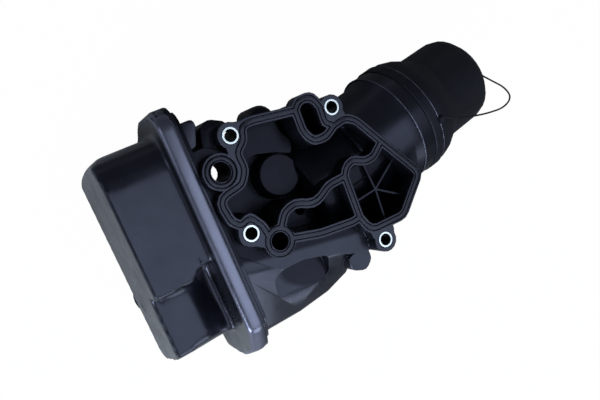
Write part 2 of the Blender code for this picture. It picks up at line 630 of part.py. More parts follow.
def arch_rib(index, x, y_low, y_high):
    """A short ring rib round the bowl, seen at the bottom of a cavity."""
    outer = BOWL_R + ARCH_RIB_HEIGHT
    points = []
    for step in range(5):
        y = y_low + (y_high - y_low) * step / 4
        points.append((y, math.sqrt(outer ** 2 - y ** 2) - AXIS_DEPTH, 0.0))
    floor = math.sqrt(BOWL_R ** 2 - max(abs(y_low), abs(y_high)) ** 2) - AXIS_DEPTH - 4
    points += [(y_high, floor, 0.0), (y_low, floor, 0.0)]
    return prism(f"arch_rib_{index}", points, x, x + 2.5, ACROSS)


# Pieces on the flange

def flange_pieces():
    gasket_width = GROOVE_WIDTH - 2 * GASKET_ROOM
    finish(settle(seal_net("gasket", gasket_width, -GROOVE_DEPTH + GAP, 0.0)), "flange_gasket", SEAL_RUBBER)
    ring = tube("ring", RING_SEAL_R + gasket_width / 2, RING_SEAL_R - gasket_width / 2, -GROOVE_DEPTH + GAP, 0.0,
                at(*RING_PORT), 20)
    finish(settle(ring), "ring_port_seal", SEAL_RUBBER)
    for name, centre in BOLTS.items():
        sleeve = tube("sleeve", SLEEVE_R, SLEEVE_BORE_R, -SLEEVE_LENGTH, 0.0, at(*centre), SMALL_ROUND)
        finish(settle(sleeve), "sleeve_" + name, SLEEVE_STEEL)


# Separator cover and baffle

def cover_outline(inset=0.0):
    """The cover's section as (v, z), with the foot at its lower end."""
    return grown([(COVER_TOP, COVER_BACK, 12.0), (COVER_TOP, COVER_FRONT, 24.0), (COVER_STEP, COVER_FRONT, 3.0),
                  (COVER_STEP, FOOT_FRONT, 2.0), (FOOT_BOTTOM, FOOT_FRONT, 4.0), (FOOT_BOTTOM - 4, FOOT_LIP, 3.0),
                  (FOOT_BOTTOM - 14, COVER_BACK, 10.0)], -inset)


def cover_block(name, inset, mouth):
    """The cover's outer form, or its hollow. Its closed end leans outward towards the back."""
    section = rounded(cover_outline(inset))
    lean = COVER_END_SPREAD / (COVER_FRONT - COVER_BACK)
    end = [(COVER_END + inset - lean * (COVER_FRONT - point.y), point.x, point.y) for point in section]
    block = loft(name, [end, [(mouth, point.x, point.y) for point in section]], SEPARATOR)
    left = COVER_END - COVER_END_SPREAD - 1.0
    plan = [(left, COVER_TOP + 0.5, COVER_CORNER), (left, -120.0, 0.0), (0.0, -120.0, 0.0), (0.0, COVER_TOP + 0.5, 0.0)]
    return combine(block, "INTERSECT", [prism(name + "_plan", grown(plan, -inset), -200, 20, SEPARATOR)])


def scoop(name, spread):
    """The shallow round hollow down the side of the foot, or the wall left round it."""
    radius = SCOOP_R + spread
    start = SCOOP_START - spread
    profile = [(0, 100.0), (radius, 100.0), (radius, start + SCOOP_R), (radius * 0.92, start + 11.0),
               (radius * 0.67, start + 4.5), (radius * 0.34, start + 1.0), (0, start)]
    u, z = SCOOP
    return turned(name, profile, SEPARATOR @ at(u, 0, z) @ UPRIGHT, 24)


def separator_cover():
    seam = RIM_START - GAP
    cover = settle(bevelled(cover_block("cover", 0.0, seam + 6.0), 4.0, 3, 40))
    cut(cover, scoop("scoop", 0.0))
    beyond = prism("beyond_seam", box_outline(-200, 200, -200, 50), seam, seam + 20.0, ACROSS_SEPARATOR)
    flange = settle(bevelled(prism("cover_flange", grown(separator_outline(), -0.3), seam - COVER_FLANGE, seam + 6.0,
                                   ACROSS_SEPARATOR), 2.2, 2, 60))
    ridge = loft("ridge", [
        [(COVER_END + out, v, COVER_FRONT - 3) for out, v in ((-0.5, -18), (3.0, -18), (3.0, 60), (-0.5, 60))],
        [(COVER_END + out, v, COVER_FRONT + 0.8) for out, v in ((0.7, -18), (2.2, -18), (2.2, 60), (0.7, 60))]],
        SEPARATOR)
    join(cover, flange, ridge)
    cut(cover, beyond)
    hollow = cover_block("cover_hollow", WALL, seam + 1)
    cut(hollow, scoop("scoop_wall", WALL))
    cut(cover, hollow)
    join(cover, prism("breather_boss", circle(BREATHER, BREATHER_R, 24), BREATHER_SEAT, BREATHER_START, SEPARATOR))
    cut(cover, prism("breather_well", circle(BREATHER, BREATHER_R - WALL, 24), BREATHER_SEAT - 1,
                     BREATHER_START - WALL, SEPARATOR),
        prism("breather_hole", circle(BREATHER, BREATHER_HOLE_R, 12), BREATHER_START - WALL - 1, BREATHER_START + 1,
              SEPARATOR))
    return finish(cover, "separator_cover", PLASTIC)


def separator_baffle():
    """Labyrinth plate that the gas passes through, seated inside the cover's mouth."""
    inner = grown([(COVER_TOP, COVER_BACK, 12.0), (COVER_TOP, COVER_FRONT, 24.0), (-SCOOP_START, COVER_FRONT, 3.0),
                   (-SCOOP_START, COVER_BACK, 3.0)], -WALL - 2 * GAP)
    seat = RIM_START - GAP - COVER_FLANGE - 2
    baffle = prism("baffle", inner, seat - 2.0, seat, ACROSS_SEPARATOR)
    for index in range(5):
        v = COVER_TOP - 15.5 - 14.0 * index
        rib = prism(f"baffle_rib_{index}", box_outline(v - 0.9, v + 0.9, COVER_BACK + 14 + 10 * (index % 2),
                                                       COVER_FRONT - 16 + 10 * (index % 2)), seat - 24, seat - 1,
                    ACROSS_SEPARATOR)
        join(baffle, rib)
    window = prism("baffle_window", box_outline(1.0, COVER_TOP - 7.5, COVER_BACK + 5.5, COVER_BACK + 12, 2.0),
                   seat - 5, seat + 3, ACROSS_SEPARATOR)
    cut(baffle, window)
    return finish(settle(baffle), "separator_baffle", CAP_PLASTIC)


# Breather valve

def breather_valve():
    seat = BREATHER_SEAT - GAP
    frame = SEPARATOR @ at(*BREATHER)
    outer = BREATHER_R + 1.0
    low = seat - BREATHER_CAP_HEIGHT
    cap = turned("breather_cap", [(0, seat), (outer, seat), (outer, low + 2.5), (outer - 2.5, low), (0, low)],
                 frame, 24)
    cut(cap, rod("breather_cap_hollow", outer - 4.2, low + 2.2, seat + 1, frame, 20))
    finish(settle(cap), "breather_valve_cap", CAP_PLASTIC)
    well = BREATHER_R - WALL
    diaphragm = turned("diaphragm", [
        (0, seat + 2.6), (well - 5.0, seat + 2.6), (well - 2.6, seat + 5.0), (well - GAP, seat + 2.6),
        (well - GAP, seat + 1.0), (well - 2.6, seat + 3.2), (well - 5.0, seat + 1.0), (0, seat + 1.0)], frame, 20)
    finish(settle(diaphragm), "breather_diaphragm", SEAL_RUBBER)
    helix("breather_spring", 6.0, 1.1, seat + 2.6 + GAP, BREATHER_START - WALL - GAP, 4.5, frame)


def helix(name, radius, wire, low, high, turns, frame):
    """A coil spring between two levels, both ends resting on their seats."""
    curve = bpy.data.curves.new(name, "CURVE")
    curve.dimensions = "3D"
    curve.bevel_depth = wire / 2 * MM
    curve.bevel_resolution = 0
    curve.use_fill_caps = True
    steps = int(turns * SPRING_SIDES)
    spline = curve.splines.new("POLY")
    spline.points.add(steps)
    bottom = low + wire / 2
    rise = high - low - wire
    for step, point in enumerate(spline.points):
        angle = 2 * math.pi * turns * step / steps
        point.co = (radius * math.cos(angle) * MM, radius * math.sin(angle) * MM,
                    (bottom + rise * step / steps) * MM, 1.0)
    made = bpy.data.objects.new(name, curve)
    PARTS.objects.link(made)
    made.matrix_world = frame
    curve.materials.append(SPRING_STEEL)
    return made


# Relief valve

def relief_valve():
    frame = at(*RELIEF)
    inner = RELIEF_BORE_R - GAP
    plug_top = RELIEF_BOTTOM + 6.0
    plug = turned("plug", [
        (0, plug_top), (inner, plug_top), (inner, RELIEF_BOTTOM - GAP), (RELIEF_BORE_R + 1.8, RELIEF_BOTTOM - GAP),
        (RELIEF_BORE_R + 1.8, RELIEF_BOTTOM - GAP - 2.5), (2.4, RELIEF_BOTTOM - GAP - 2.5),
        (2.4, RELIEF_BOTTOM + 1.0), (0, RELIEF_BOTTOM + 1.0)], frame, 16)
    finish(settle(plug), "relief_valve_plug", CAP_PLASTIC)
    top = RELIEF_BORE_TOP - GAP
    bottom = top - 8.0
    piston = turned("piston", [(0, top), (inner - 0.8, top), (inner, top - 0.8), (inner, bottom), (0, bottom)],
                    frame, 16)
    finish(settle(piston), "relief_piston", SLEEVE_STEEL)
    helix("relief_spring", inner - 1.0, 1.1, plug_top + GAP, bottom - GAP, 6.0, frame)


# Screw cap

def filter_cap():
    bore = BOWL_R - BOWL_WALL
    skirt = bore - THREAD_CLEARANCE
    dome_rise = CAP_END_X - CAP_DOME_X
    dome = []
    for step in range(5):
        angle = math.radians(18 * step + 18)
        dome.append((CAP_R * 0.995 * math.sin(angle), CAP_DOME_X + dome_rise * math.cos(angle)))
    dome[-1] = (CAP_R * 0.99, CAP_DOME_X)
    shoulder = [(CAP_R, 131.0), (CAP_R + 1.8, 126.0), (CAP_R + 7.0, 116.0), (CAP_R + 9.2, 109.0),
                (CAP_R + 9.4, CAP_RING_END_X)]
    cap = turned("cap", [
        (0, CAP_END_X - 1.2), (12.0, CAP_END_X - 1.2), *dome, *shoulder, (CAP_RING_R, CAP_RING_END_X - 0.8),
        (CAP_RING_R, BOWL_MOUTH_X + GAP + 0.8), (CAP_RING_R - 0.8, BOWL_MOUTH_X + GAP), (skirt, BOWL_MOUTH_X + GAP),
        (skirt, CAP_SKIRT_X), (0, CAP_SKIRT_X)])
    settle(cap)
    for index in range(FLUTES):
        angle = 2 * math.pi * (index + 0.5) / FLUTES
        centre = (math.cos(angle) * (CAP_R + 1.2), math.sin(angle) * (CAP_R + 1.2))
        cut(cap, prism(f"flute_{index}", circle(centre, FLUTE_R, 8), CAP_DOME_X + 3.5, CAP_END_X + 2, FILTER_AXIS))
    inside = CAP_R - CAP_WALL
    cut(cap, turned("cap_hollow", [
        (0, CAP_END_X - 7.0), (CAP_R / 2, CAP_END_X - 7.0), (inside - 5, CAP_DOME_X + 9), (inside, CAP_DOME_X + 3.5),
        (inside, CAP_SKIRT_X - 2), (0, CAP_SKIRT_X - 2)]))
    socket_low = CARTRIDGE_END_X + 1.5
    join(cap, tube("cap_socket", BYPASS_R + 3.5, BYPASS_R + 1.2, socket_low, CAP_END_X - 6, sides=24))
    cut(cap, tube("seal_groove", skirt + 3, bore - SEAL_SQUEEZE - SEAL_SECTION - GAP, SEAL_X - SEAL_SECTION / 2 - GAP,
                  SEAL_X + SEAL_SECTION / 2 + GAP))
    start, end = tether_ends()
    lug = prism("lug", box_outline(-2.6, 2.6, CAP_R + 5, start.length + 1.2, 1.0), CAP_RING_END_X - 2, TETHER_START_X,
                FILTER_AXIS @ Matrix.Rotation(math.atan2(start.y, start.x) - math.radians(90), 4, "Z"))
    eye = rod("eye", TETHER_BOSS_R, CAP_END_X - 3.0, TETHER_END_X, sides=12)
    join(cap, lug, eye)
    finish(cap, "filter_cap", CAP_PLASTIC)
    ring = bore - SEAL_SQUEEZE - SEAL_SECTION / 2
    section = [(ring + SEAL_SECTION / 2 * math.cos(math.radians(a)), SEAL_X + SEAL_SECTION / 2 * math.sin(math.radians(a)))
               for a in range(90, -270, -60)]
    finish(settle(turned("cap_seal", section)), "cap_seal", SEAL_RUBBER)


# Cartridge

def cartridge():
    start = CARTRIDGE_START_X
    end = CARTRIDGE_END_X
    inner_disc = tube("inner_disc", DISC_R, STANDPIPE_R + GAP, start, start + DISC_THICKNESS)
    finish(settle(inner_disc), "element_end_disc_inner", CAP_PLASTIC)
    outer_disc = tube("outer_disc", DISC_R, BYPASS_R - 1.5, end - DISC_THICKNESS, end)
    join(outer_disc, tube("clip", BYPASS_R + 1.2 - GAP, BYPASS_R - 1.5, end - 0.5, end + 8.0, sides=24))
    finish(settle(outer_disc), "element_end_disc_outer", CAP_PLASTIC)
    low = start + DISC_THICKNESS + GAP
    high = end - DISC_THICKNESS - GAP
    core = tube("core", CORE_R, CORE_R - CORE_WALL, low, high, sides=24)
    slot_length = (high - low) / 4
    for row in range(3):
        for index in range(CORE_SLOTS // 2):
            turn = Matrix.Rotation(math.pi * (2 * index + row) / CORE_SLOTS, 4, "Z")
            slot = prism(f"slot_{row}_{index}", box_outline(-CORE_R - 2, CORE_R + 2, -2.2, 2.2),
                         low + slot_length * (row + 0.6), low + slot_length * (row + 1.3), FILTER_AXIS @ turn)
            cut(core, slot)
    finish(settle(core), "element_core", CAP_PLASTIC)
    star = []
    for index in range(PLEATS * 2):
        angle = math.pi * index / PLEATS
        radius = CORE_R + PLEAT_FOOT if index % 2 else PLEAT_R
        star.append((radius * math.cos(angle), radius * math.sin(angle), 0.0))
    pleats = prism("pleats", star, low, high, FILTER_AXIS, holes=[circle((0, 0), CORE_R + GAP, 24)])
    finish(pleats, "element_pleats", FILTER_PAPER)


def bypass_valve():
    seat = CARTRIDGE_END_X - DISC_THICKNESS - GAP
    far = seat - BYPASS_LENGTH
    cage = turned("cage", [(BYPASS_R + 2, seat), (BYPASS_R + 2, far), (4.0, far), (4.0, far + 2), (BYPASS_R + 0.6, far + 2),
                           (BYPASS_R + 0.6, seat)], sides=24)
    finish(settle(cage), "bypass_cage", CAP_PLASTIC)
    poppet = turned("poppet", [(0, seat), (BYPASS_R, seat), (BYPASS_R, seat - 2.5), (3.0, seat - 2.5),
                               (3.0, seat - 8), (0, seat - 8)], sides=24)
    finish(settle(poppet), "bypass_poppet", SLEEVE_STEEL)
    helix("bypass_spring", 7.0, 1.2, far + 2 + GAP, seat - 2.5 - GAP, 5.0, FILTER_AXIS)


# Hose connector behind the rim

def hose_connector():
    """A block that seats on the rim's plate, with a spigot for the hose on its underside."""
    left = RIM_END + WALL + 2 * GAP
    block = bevelled(prism("connector", [
        (left, CONNECTOR_HEAD, 1.0), (left, CONNECTOR_FOOT, 1.0), (-87.8, CONNECTOR_FOOT, 3.0), (-82.2, 76.0, 3.0),
        (-82.2, CONNECTOR_HEAD, 4.0)], CONNECTOR_TOP - CONNECTOR_DEPTH, CONNECTOR_TOP, SEPARATOR), 1.6, 2, 60)
    low = CONNECTOR_TOP - CONNECTOR_DEPTH - SPIGOT_LENGTH
    spigot = turned("spigot", [
        (0, low + SPIGOT_LENGTH + 4), (SPIGOT_R - 0.4, low + SPIGOT_LENGTH + 4), (SPIGOT_R - 0.4, low + 5),
        (SPIGOT_R, low + 3.5), (SPIGOT_R - 0.8, low), (0, low)], SEPARATOR @ at(*SPIGOT), 16)
    join(settle(block), spigot)
    cut(block, prism("spigot_bore", circle(SPIGOT, SPIGOT_BORE_R, 12), low - 1, CONNECTOR_TOP - CONNECTOR_DEPTH / 2,
                     SEPARATOR), connector_bore("inlet_bore", left - 1))
    finish(block, "hose_connector", PLASTIC)


# Cord of the cap

def tether_ends():
    """Where the cord starts and ends, as points round the filter's axis in its own frame."""
    y, z = TETHER_START
    return Vector((-(z + AXIS_DEPTH), y)), Vector((0.0, 0.0))


def tether():
    """A thin cord from the lug on the cap's ring to the boss on its end, through a smooth curve."""
    curve = bpy.data.curves.new("cap_tether", "CURVE")
    curve.dimensions = "3D"
    curve.bevel_depth = TETHER_R * MM
    curve.bevel_resolution = 2
    curve.use_fill_caps = True
    points = []
    route = [Vector((TETHER_START_X + GAP, *TETHER_START)), *(Vector(point) for point in TETHER_ROUTE),
             Vector((TETHER_END_X + GAP, 0.0, -AXIS_DEPTH))]
    for i in range(len(route) - 1):
        p0 = route[max(i - 1, 0)]
        p1 = route[i]
        p2 = route[i + 1]
        p3 = route[min(i + 2, len(route) - 1)]
        for step in range(2):
            t = step / 2
            points.append(0.5 * (2 * p1 + (p2 - p0) * t + (2 * p0 - 5 * p1 + 4 * p2 - p3) * t ** 2
                                 + (3 * p1 - p0 - 3 * p2 + p3) * t ** 3))
    points.append(route[-1])
    spline = curve.splines.new("POLY")
    spline.points.add(len(points) - 1)
    for target, point in zip(spline.points, points):
        target.co = (*(point * MM), 1.0)
    made = bpy.data.objects.new("cap_tether", curve)
    PARTS.objects.link(made)
    curve.materials.append(CAP_PLASTIC)
    return made


housing()
flange_pieces()
separator_cover()
separator_baffle()
breather_valve()
relief_valve()
filter_cap()
cartridge()
bypass_valve()
hose_connector()
tether()
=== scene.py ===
"""Looks of the oil filter housing: materials, fine pieces, light and camera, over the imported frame."""
import math

import bmesh
import bpy
from mathutils import Matrix, Vector


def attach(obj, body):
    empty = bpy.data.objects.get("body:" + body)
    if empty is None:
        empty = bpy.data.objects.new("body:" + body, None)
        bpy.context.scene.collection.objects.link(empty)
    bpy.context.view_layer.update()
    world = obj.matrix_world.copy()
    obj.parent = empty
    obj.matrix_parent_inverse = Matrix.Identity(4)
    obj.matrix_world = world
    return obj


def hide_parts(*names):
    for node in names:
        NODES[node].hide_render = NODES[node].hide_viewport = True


MM = 0.001
FILTER_AXIS_Z = -58.0
BOWL_R = 46.0
BACK_Z = -108.5

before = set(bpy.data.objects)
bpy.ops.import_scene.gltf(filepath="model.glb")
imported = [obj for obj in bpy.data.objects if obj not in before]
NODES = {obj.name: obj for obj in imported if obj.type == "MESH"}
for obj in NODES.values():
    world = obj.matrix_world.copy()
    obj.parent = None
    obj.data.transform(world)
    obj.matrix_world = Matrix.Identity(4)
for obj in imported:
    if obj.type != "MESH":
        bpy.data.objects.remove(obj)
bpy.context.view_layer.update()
SCENE = bpy.context.scene
SCENE.view_settings.view_transform = "Standard"


# Camera at the photograph's angle

CAMERA_PLACE = (-173.22, 97.82, 371.97)
CAMERA_RIGHT = (0.75497, -0.52064, 0.39869)
CAMERA_UP = (0.56520, 0.82493, 0.00696)
CAMERA_BACK = (-0.33251, 0.22008, 0.91706)


def make_camera():
    turn = Matrix((CAMERA_RIGHT, CAMERA_UP, CAMERA_BACK)).transposed().to_4x4()
    data = bpy.data.cameras.new("camera")
    data.sensor_width = 36.0
    data.lens = 34.8
    data.clip_start = 0.01
    camera = bpy.data.objects.new("camera", data)
    camera.matrix_world = Matrix.Translation(Vector(CAMERA_PLACE) * MM) @ turn
    SCENE.collection.objects.link(camera)
    SCENE.camera = camera


make_camera()


# Materials

class Shader:
    """The node tree of a material or of the world, with short calls for its nodes."""

    def __init__(self, owner, surface="Principled BSDF"):
        owner.use_nodes = True
        self.material = owner
        self.tree = owner.node_tree
        self.surface = self.tree.nodes[surface]

    def node(self, kind, **values):
        made = self.tree.nodes.new(kind)
        for key, value in values.items():
            setattr(made, key, value)
        return made

    def link(self, source, target):
        self.tree.links.new(source, target)

    def place(self):
        """The point on the object, in its own frame, which is the CAD's frame."""
        made = self.tree.nodes.get("place") or self.node("ShaderNodeTexCoord", name="place")
        return made.outputs["Object"]

    def split(self, vector):
        made = self.node("ShaderNodeSeparateXYZ")
        self.link(vector, made.inputs["Vector"])
        return made.outputs["X"], made.outputs["Y"], made.outputs["Z"]

    def noise(self, scale, detail=3.0, roughness=0.5):
        made = self.node("ShaderNodeTexNoise")
        made.inputs["Scale"].default_value = scale
        made.inputs["Detail"].default_value = detail
        made.inputs["Roughness"].default_value = roughness
        self.link(self.place(), made.inputs["Vector"])
        return made.outputs["Fac"]

    def ramp(self, source, low, high, at_low, at_high, interpolation="LINEAR"):
        """A value that goes from at_low to at_high as the source goes from low to high."""
        made = self.node("ShaderNodeMapRange", interpolation_type=interpolation)
        made.inputs["From Min"].default_value = low
        made.inputs["From Max"].default_value = high
        made.inputs["To Min"].default_value = at_low
        made.inputs["To Max"].default_value = at_high
        self.link(source, made.inputs["Value"])
        return made.outputs["Result"]

    def combine(self, operation, first, second):
        made = self.node("ShaderNodeMath", operation=operation)
        self.link(first, made.inputs[0])
        self.link(second, made.inputs[1])
        return made.outputs[0]

    def slope(self, first, weight, second):
        """The first value times a weight, plus the second value."""
        made = self.node("ShaderNodeMath", operation="MULTIPLY_ADD")
        self.link(first, made.inputs[0])
        made.inputs[1].default_value = weight
        self.link(second, made.inputs[2])
        return made.outputs[0]

    def mix(self, factor, first, second):
        made = self.node("ShaderNodeMix", data_type="RGBA")
        made.inputs["A"].default_value = (*first, 1.0)
        made.inputs["B"].default_value = (*second, 1.0)
        self.link(factor, made.inputs["Factor"])
        return made.outputs["Result"]

    def bump(self, source, strength, depth, edge=0.0):
        """Surface grain of a depth in mm, and edges that shade as if rounded to a radius in mm."""
        made = self.node("ShaderNodeBump")
        made.inputs["Strength"].default_value = strength
        made.inputs["Distance"].default_value = depth * MM
        self.link(source, made.inputs["Height"])
        if edge:
            round_edge = self.node("ShaderNodeBevel", samples=6)
            round_edge.inputs["Radius"].default_value = edge * MM
            self.link(round_edge.outputs["Normal"], made.inputs["Normal"])
        self.link(made.outputs["Normal"], self.surface.inputs["Normal"])


def new_shader(name):
    return Shader(bpy.data.materials.new(name))


# A painted blue cast on the reflections of every plastic, on top of the lamps' cool colour.
PAINTED_REFLECTION_TINT = (0.70, 0.73, 1.0, 1.0)
MOULDED = ((0.0030, 0.0032, 0.0050), (0.0045, 0.0048, 0.0072))
MATTE_MOULDED = ((0.0034, 0.0037, 0.0052), (0.0048, 0.0052, 0.0070))
SEAL = ((0.0075, 0.0078, 0.0095), (0.010, 0.0105, 0.0125))


def plastic(name, tones=MOULDED, rough=(0.24, 0.36), grain=900.0, depth=0.03, edge=0.8, gloss=0.5):
    """Moulded plastic: faint cloudy tone, uneven gloss and a fine surface grain."""
    made = new_shader(name)
    # Its reflections carry the painted blue cast.
    made.surface.inputs["Specular Tint"].default_value = PAINTED_REFLECTION_TINT
    made.surface.inputs["Specular IOR Level"].default_value = gloss
    clouds = made.ramp(made.noise(38.0, 4.0), 0.4, 0.75, 0.0, 1.0)
    made.link(made.mix(clouds, *tones), made.surface.inputs["Base Color"])
    made.link(made.ramp(made.noise(55.0, 5.0, 0.6), 0.3, 0.7, *rough), made.surface.inputs["Roughness"])
    made.bump(made.noise(grain, 2.0), 0.5, depth, edge)
    return made.material


def paint_shade_in_hollows(material, gloss, shaded_gloss):
    """Painted shade: a lower specular level on the floors inside the flange's walls and behind it, in the
    pocket below the flange, and on the bowl's lower side past the flange, so these reflect less than the
    faces do.
    """
    made = Shader(material)
    x, y, z = made.split(made.place())
    below_faces = made.ramp(z, -9.5 * MM, -7.0 * MM, 1.0, 0.0)
    off_trough = made.ramp(made.slope(x, 0.4, y), -47 * MM, -44 * MM, 0.0, 1.0)
    off_bowl = made.ramp(made.slope(x, 1.46, y), 62 * MM, 66 * MM, 1.0, 0.0)
    hollows = made.combine("MULTIPLY", made.combine("MULTIPLY", below_faces, off_trough), off_bowl)

    # Painted shade in the pocket below the flange.
    pocket = made.node("ShaderNodeMapping", vector_type="TEXTURE")
    pocket.inputs["Location"].default_value = Vector((-52.0, -47.5, -36.0)) * MM
    pocket.inputs["Rotation"].default_value = (0.0, 0.0, math.radians(-32.0))
    pocket.inputs["Scale"].default_value = Vector((25.0, 12.5, 14.0)) * MM
    made.link(made.place(), pocket.inputs["Vector"])
    reach = made.node("ShaderNodeVectorMath", operation="LENGTH")
    made.link(pocket.outputs["Vector"], reach.inputs[0])
    in_pocket = made.ramp(reach.outputs["Value"], 0.8, 1.05, 0.85, 0.0)

    # Painted shade on the bowl's lower side, past the flange.
    past_flange = made.ramp(x, 40 * MM, 52 * MM, 0.0, 0.6)
    bowl_side = made.combine("MULTIPLY", past_flange, made.ramp(y, -12 * MM, 16 * MM, 1.0, 0.0))

    share = made.combine("MAXIMUM", made.combine("MAXIMUM", hollows, in_pocket), bowl_side)
    made.link(made.ramp(share, 0.0, 1.0, gloss, shaded_gloss), made.surface.inputs["Specular IOR Level"])


def scuffed(material, place, radius):
    """A small patch of scratches, from handling."""
    made = Shader(material)
    away = made.node("ShaderNodeVectorMath", operation="DISTANCE")
    made.link(made.place(), away.inputs[0])
    away.inputs[1].default_value = Vector(place) * MM
    near = made.ramp(away.outputs["Value"], 0.5 * radius * MM, radius * MM, 1.0, 0.0)
    marks = made.ramp(made.noise(700.0, 3.0, 0.7), 0.52, 0.60, 0.0, 1.0)
    share = made.combine("MULTIPLY", near, marks)
    made.link(made.ramp(share, 0.0, 1.0, 0.55, 0.05), made.surface.inputs["Specular IOR Level"])


def metal(name, colour, rough, wall_shade=1.0):
    """Bright steel, with painted shade: walls that don't face along Z, such as the inside of a sleeve, are
    darker by a factor.
    """
    made = new_shader(name)
    made.surface.inputs["Metallic"].default_value = 1.0
    streaks = made.noise(900.0, 2.0)
    faces = made.node("ShaderNodeNewGeometry")
    upward = made.split(faces.outputs["True Normal"])[2]
    tone = made.node("ShaderNodeVectorMath", operation="SCALE")
    made.link(made.mix(streaks, colour, tuple(channel * 0.85 for channel in colour)), tone.inputs[0])
    made.link(made.ramp(upward, 0.3, 0.7, wall_shade, 1.0), tone.inputs["Scale"])
    made.link(tone.outputs["Vector"], made.surface.inputs["Base Color"])
    made.link(made.ramp(streaks, 0.3, 0.7, *rough), made.surface.inputs["Roughness"])
    made.bump(made.noise(1500.0, 2.0), 0.05, 0.01, 0.25)
    return made.material


def paper(name):
    made = new_shader(name)
    fibres = made.mix(made.noise(400.0, 4.0), (0.72, 0.55, 0.26), (0.82, 0.68, 0.38))
    made.link(fibres, made.surface.inputs["Base Color"])
    made.surface.inputs["Roughness"].default_value = 0.9
    made.bump(made.noise(2500.0, 3.0), 0.4, 0.05)
    return made.material


GLOSS = plastic("moulded_black", gloss=0.55)
MATTE = plastic("matte_black", MATTE_MOULDED, (0.42, 0.54), 1400.0, 0.05, 0.6, 0.30)
RUBBER = plastic("seal_black", SEAL, (0.36, 0.50), 1200.0, 0.02, 0.5)
# The sleeves' inner walls get painted shade, at 0.20 of the steel's colour.
STEEL = metal("sleeve_steel", (0.70, 0.76, 0.78), (0.28, 0.40), 0.20)
WIRE = metal("spring_steel", (0.62, 0.62, 0.64), (0.25, 0.4))
PAPER = paper("filter_paper")

FLANGE = plastic("housing_black")
# Painted shade in the housing's hollows, the pocket below its flange and its lower bowl side.
paint_shade_in_hollows(FLANGE, 0.55, 0.16)
COVER = plastic("cover_black")
scuffed(COVER, (-117.9, 13.3, -14.0), 3.2)
# The same black plastic with its reflection raised, specular level 1.0 and IOR 1.9: a painted highlight on
# the rim's bead and on the lips of the collar and the cap.
BEAD_HIGHLIGHT = plastic("rim_black_highlight", rough=(0.26, 0.40), gloss=1.0)
Shader(BEAD_HIGHLIGHT).surface.inputs["IOR"].default_value = 1.9

LOOKS = {
    "housing": FLANGE, "separator_cover": COVER, "hose_connector": GLOSS,
    "filter_cap": MATTE, "breather_valve_cap": MATTE, "relief_valve_plug": MATTE,
    "separator_baffle": MATTE, "element_end_disc_inner": MATTE, "element_end_disc_outer": MATTE,
    "element_core": MATTE, "bypass_cage": MATTE, "cap_tether": MATTE,
    "flange_gasket": RUBBER, "ring_port_seal": RUBBER, "breather_diaphragm": RUBBER, "cap_seal": RUBBER,
    "breather_spring": WIRE, "relief_spring": WIRE, "bypass_spring": WIRE,
    "element_pleats": PAPER,
}
for name, node in NODES.items():
    node.data.materials.clear()
    node.data.materials.append(LOOKS.get(name, STEEL))


# Shading of the solids: round faces read as round, with their edges kept

def new_group(name):
    """A geometry node group that takes and gives one mesh, and its two end nodes."""
    group = bpy.data.node_groups.new(name, "GeometryNodeTree")
    group.interface.new_socket("Geometry", in_out="INPUT", socket_type="NodeSocketGeometry")
    group.interface.new_socket("Geometry", in_out="OUTPUT", socket_type="NodeSocketGeometry")
    return group, group.nodes.new("NodeGroupInput"), group.nodes.new("NodeGroupOutput")


def smoothing_group(name, degrees):
    """Smooth shading, with a sharp edge wherever two faces meet at more than the given angle."""
    group, start, end = new_group(name)
    plain = group.nodes.new("GeometryNodeRemoveAttribute")
    plain.inputs["Name"].default_value = "custom_normal"
    round_faces = group.nodes.new("GeometryNodeSetShadeSmooth")
    sharp_edges = group.nodes.new("GeometryNodeSetShadeSmooth")
    sharp_edges.domain = "EDGE"
    sharp_edges.inputs["Shade Smooth"].default_value = False
    angle = group.nodes.new("GeometryNodeInputMeshEdgeAngle")
    wide = group.nodes.new("FunctionNodeCompare")
    wide.inputs["B"].default_value = math.radians(degrees)
    group.links.new(start.outputs[0], plain.inputs["Geometry"])
    group.links.new(plain.outputs["Geometry"], round_faces.inputs["Geometry"])
    group.links.new(round_faces.outputs["Geometry"], sharp_edges.inputs["Geometry"])
    group.links.new(angle.outputs["Unsigned Angle"], wide.inputs["A"])
    group.links.new(wide.outputs["Result"], sharp_edges.inputs["Selection"])
    group.links.new(sharp_edges.outputs["Geometry"], end.inputs[0])
    return group


